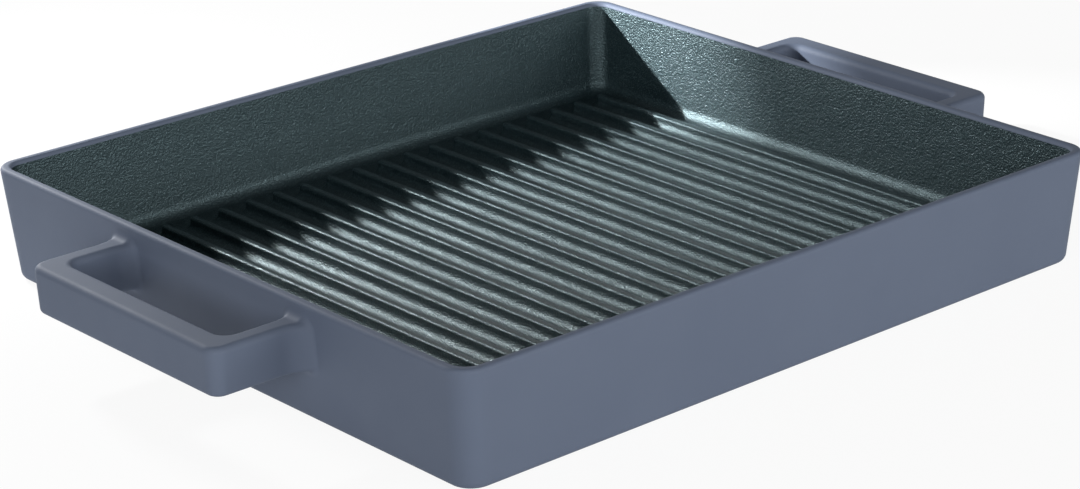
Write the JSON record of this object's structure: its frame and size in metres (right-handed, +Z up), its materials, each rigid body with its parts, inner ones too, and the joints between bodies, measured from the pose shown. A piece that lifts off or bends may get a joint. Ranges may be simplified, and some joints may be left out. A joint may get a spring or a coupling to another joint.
{
  "type": "grill pan",
  "caption": "Rectangular enamelled cast-iron grill pan with a ribbed floor, drafted walls and a loop handle at each end.",
  "frame": {"origin": "middle of the flat base, on the surface that the pan stands on", "axes": "+X from the left handle to the right handle, +Y along the ribs towards the back wall, +Z up"},
  "size_m": [0.3482, 0.2548, 0.041],
  "materials": {
    "cast_iron": "grey iron as cast, hidden under the enamel",
    "black_enamel": "black-green vitreous enamel with a fine orange-peel speckle, semi-gloss",
    "blue_enamel": "slate-blue vitreous enamel, smooth satin"
  },
  "bodies": {
    "root": {"tray_casting": "cast_iron", "left_handle": "cast_iron", "right_handle": "cast_iron", "inside_enamel": "black_enamel", "outside_enamel": "blue_enamel", "base_enamel": "blue_enamel", "left_handle_enamel": "blue_enamel", "right_handle_enamel": "blue_enamel"}
  },
  "joints": []
}
